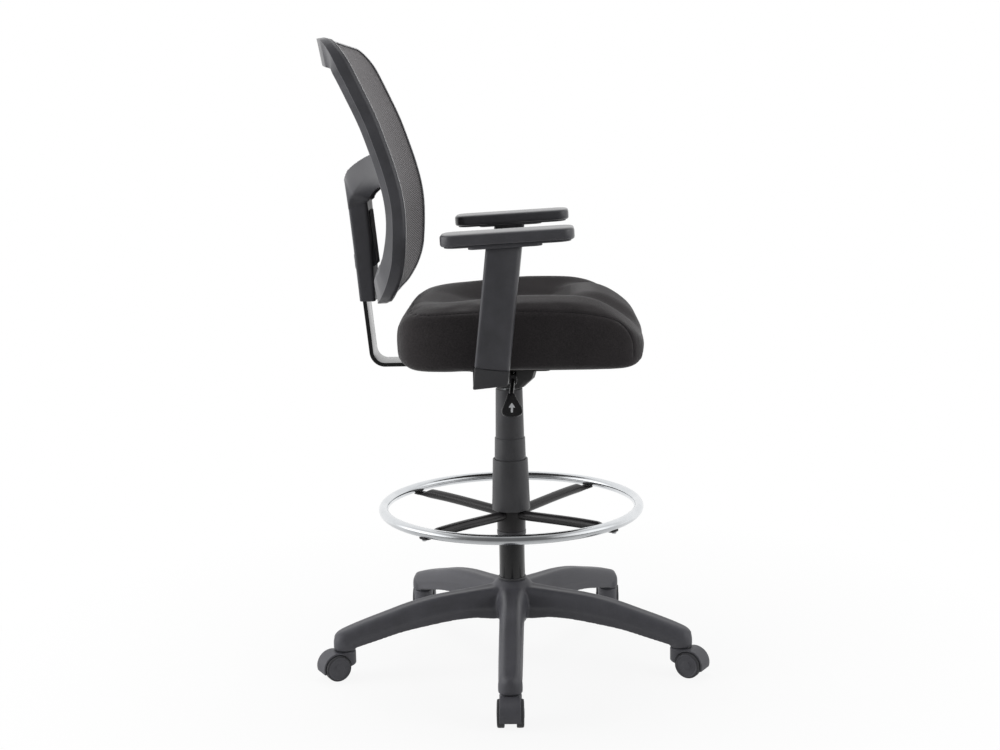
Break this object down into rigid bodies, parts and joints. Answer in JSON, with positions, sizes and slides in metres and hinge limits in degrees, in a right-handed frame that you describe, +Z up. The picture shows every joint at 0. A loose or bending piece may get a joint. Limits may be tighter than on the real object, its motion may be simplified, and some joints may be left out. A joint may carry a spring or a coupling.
{
  "type": "drafting chair",
  "caption": "Tall drafting chair: padded seat, mesh back on a sliding spine, height-adjustable T arms, footring on a telescoping column, five-leg base on twin-wheel casters.",
  "frame": {"origin": "on the floor, under the middle of the column", "axes": "+Z up, the sitter faces -Y, the sitter's right is -X"},
  "size_m": [0.7147, 0.7504, 1.204],
  "materials": {
    "frame_plastic": "satin, lightly textured",
    "nylon": "fine moulded texture",
    "cover_plastic": "matte",
    "black_steel": "gloss black paint",
    "chrome": "polished",
    "bright_steel": "satin",
    "tread": "smooth",
    "mesh": "open woven mesh",
    "upholstery": "close-woven cloth",
    "arm_pad": "soft skin, matte",
    "ply": "bare plywood"
  },
  "bodies": {
    "base": {"star_base": "nylon", "hub_ring": "frame_plastic", "column_tube": "black_steel", "column_bush": "frame_plastic", "cover_lower": "cover_plastic"},
    "footring": {"footring_frame": "black_steel", "footring_ring": "chrome", "footring_bush": "frame_plastic", "ring_screw_1": "bright_steel", "ring_screw_2": "bright_steel", "ring_screw_3": "bright_steel", "ring_screw_4": "bright_steel"},
    "cover_middle": {"cover_middle": "cover_plastic"},
    "lift": {"cover_upper": "cover_plastic"},
    "seat": {"piston_tube": "chrome", "seat_plate": "black_steel", "seat_pan": "ply", "seat_cushion": "upholstery", "back_bar": "black_steel", "arm_bracket_left": "black_steel", "arm_bracket_right": "black_steel"},
    "lever": {"lever_rod": "black_steel", "lever_paddle": "frame_plastic"},
    "back": {"back_frame": "frame_plastic", "back_mesh": "mesh", "back_yoke": "frame_plastic", "spine_sleeve": "frame_plastic"},
    "arm_left": {"arm_sleeve_left": "frame_plastic", "arm_pad_base_left": "frame_plastic", "arm_pad_left": "arm_pad"},
    "button_left": {"arm_button_left": "frame_plastic"},
    "arm_right": {"arm_sleeve_right": "frame_plastic", "arm_pad_base_right": "frame_plastic", "arm_pad_right": "arm_pad"},
    "button_right": {"arm_button_right": "frame_plastic"},
    "caster_1": {"caster_1_housing": "nylon", "caster_1_stem": "bright_steel", "caster_1_axle": "bright_steel"},
    "caster_1_wheel_left": {"caster_1_wheel_left": "tread"},
    "caster_1_wheel_right": {"caster_1_wheel_right": "tread"},
    "caster_2": {"caster_2_housing": "nylon", "caster_2_stem": "bright_steel", "caster_2_axle": "bright_steel"},
    "caster_2_wheel_left": {"caster_2_wheel_left": "tread"},
    "caster_2_wheel_right": {"caster_2_wheel_right": "tread"},
    "caster_3": {"caster_3_housing": "nylon", "caster_3_stem": "bright_steel", "caster_3_axle": "bright_steel"},
    "caster_3_wheel_left": {"caster_3_wheel_left": "tread"},
    "caster_3_wheel_right": {"caster_3_wheel_right": "tread"},
    "caster_4": {"caster_4_housing": "nylon", "caster_4_stem": "bright_steel", "caster_4_axle": "bright_steel"},
    "caster_4_wheel_left": {"caster_4_wheel_left": "tread"},
    "caster_4_wheel_right": {"caster_4_wheel_right": "tread"},
    "caster_5": {"caster_5_housing": "nylon", "caster_5_stem": "bright_steel", "caster_5_axle": "bright_steel"},
    "caster_5_wheel_left": {"caster_5_wheel_left": "tread"},
    "caster_5_wheel_right": {"caster_5_wheel_right": "tread"}
  },
  "joints": [
    {"name": "seat_lift", "type": "slide", "parent": "base", "child": "lift", "axis": [0, 0, 1], "range_m": [-0.12, 0]},
    {"name": "cover_slide", "type": "slide", "parent": "base", "child": "cover_middle", "axis": [0, 0, 1], "range_m": [-0.06, 0]},
    {"name": "seat_swivel", "type": "hinge", "parent": "lift", "child": "seat", "pos_m": [0, 0, 0.58], "axis": [0, 0, 1], "continuous": true},
    {"name": "footring_slide", "type": "slide", "parent": "base", "child": "footring", "axis": [0, 0, 1], "range_m": [-0.08, 0]},
    {"name": "lever_pull", "type": "hinge", "parent": "seat", "child": "lever", "pos_m": [-0.0196, -0.01, 0.576], "axis": [0, 1, 0], "range_deg": [0, 2.3], "stiffness_Nm_per_rad": 1.5, "springref_deg": -11.46},
    {"name": "back_slide", "type": "slide", "parent": "seat", "child": "back", "axis": [0, 0.0958, 0.9954], "range_m": [0, 0.06]},
    {"name": "arm_slide_left", "type": "slide", "parent": "seat", "child": "arm_left", "axis": [0, -0.1132, 0.9936], "range_m": [0, 0.07]},
    {"name": "button_press_left", "type": "slide", "parent": "arm_left", "child": "button_left", "axis": [1, 0, 0], "range_m": [0, 0.002], "stiffness_N_per_m": 500},
    {"name": "arm_slide_right", "type": "slide", "parent": "seat", "child": "arm_right", "axis": [0, -0.1132, 0.9936], "range_m": [0, 0.07]},
    {"name": "button_press_right", "type": "slide", "parent": "arm_right", "child": "button_right", "axis": [-1, 0, 0], "range_m": [0, 0.002], "stiffness_N_per_m": 500},
    {"name": "caster_1_swivel", "type": "hinge", "parent": "base", "child": "caster_1", "pos_m": [-0.337, 0, 0.06], "axis": [0, 0, 1], "continuous": true},
    {"name": "caster_1_roll_left", "type": "hinge", "parent": "caster_1", "child": "caster_1_wheel_left", "pos_m": [-0.36, 0, 0.025], "axis": [0, -1, 0], "continuous": true},
    {"name": "caster_1_roll_right", "type": "hinge", "parent": "caster_1", "child": "caster_1_wheel_right", "pos_m": [-0.36, 0, 0.025], "axis": [0, -1, 0], "continuous": true},
    {"name": "caster_2_swivel", "type": "hinge", "parent": "base", "child": "caster_2", "pos_m": [-0.10414, -0.32051, 0.06], "axis": [0, 0, 1], "continuous": true},
    {"name": "caster_2_roll_left", "type": "hinge", "parent": "caster_2", "child": "caster_2_wheel_left", "pos_m": [-0.11564, -0.34042, 0.025], "axis": [0.866, -0.5, 0], "continuous": true},
    {"name": "caster_2_roll_right", "type": "hinge", "parent": "caster_2", "child": "caster_2_wheel_right", "pos_m": [-0.11564, -0.34042, 0.025], "axis": [0.866, -0.5, 0], "continuous": true},
    {"name": "caster_3_swivel", "type": "hinge", "parent": "base", "child": "caster_3", "pos_m": [0.27264, -0.19808, 0.06], "axis": [0, 0, 1], "continuous": true},
    {"name": "caster_3_roll_left", "type": "hinge", "parent": "caster_3", "child": "caster_3_wheel_left", "pos_m": [0.29563, -0.19889, 0.025], "axis": [0.0349, 0.9994, 0], "continuous": true},
    {"name": "caster_3_roll_right", "type": "hinge", "parent": "caster_3", "child": "caster_3_wheel_right", "pos_m": [0.29563, -0.19889, 0.025], "axis": [0.0349, 0.9994, 0], "continuous": true},
    {"name": "caster_4_swivel", "type": "hinge", "parent": "base", "child": "caster_4", "pos_m": [0.27264, 0.19808, 0.06], "axis": [0, 0, 1], "continuous": true},
    {"name": "caster_4_roll_left", "type": "hinge", "parent": "caster_4", "child": "caster_4_wheel_left", "pos_m": [0.29564, 0.19808, 0.025], "axis": [0, 1, 0], "continuous": true},
    {"name": "caster_4_roll_right", "type": "hinge", "parent": "caster_4", "child": "caster_4_wheel_right", "pos_m": [0.29564, 0.19808, 0.025], "axis": [0, 1, 0], "continuous": true},
    {"name": "caster_5_swivel", "type": "hinge", "parent": "base", "child": "caster_5", "pos_m": [-0.10414, 0.32051, 0.06], "axis": [0, 0, 1], "continuous": true},
    {"name": "caster_5_roll_left", "type": "hinge", "parent": "caster_5", "child": "caster_5_wheel_left", "pos_m": [-0.11564, 0.34042, 0.025], "axis": [-0.866, -0.5, 0], "continuous": true},
    {"name": "caster_5_roll_right", "type": "hinge", "parent": "caster_5", "child": "caster_5_wheel_right", "pos_m": [-0.11564, 0.34042, 0.025], "axis": [-0.866, -0.5, 0], "continuous": true}
  ],
  "couplings": [
    {"joint": "cover_slide", "follows": "seat_lift", "ratio": 0.5}
  ]
}
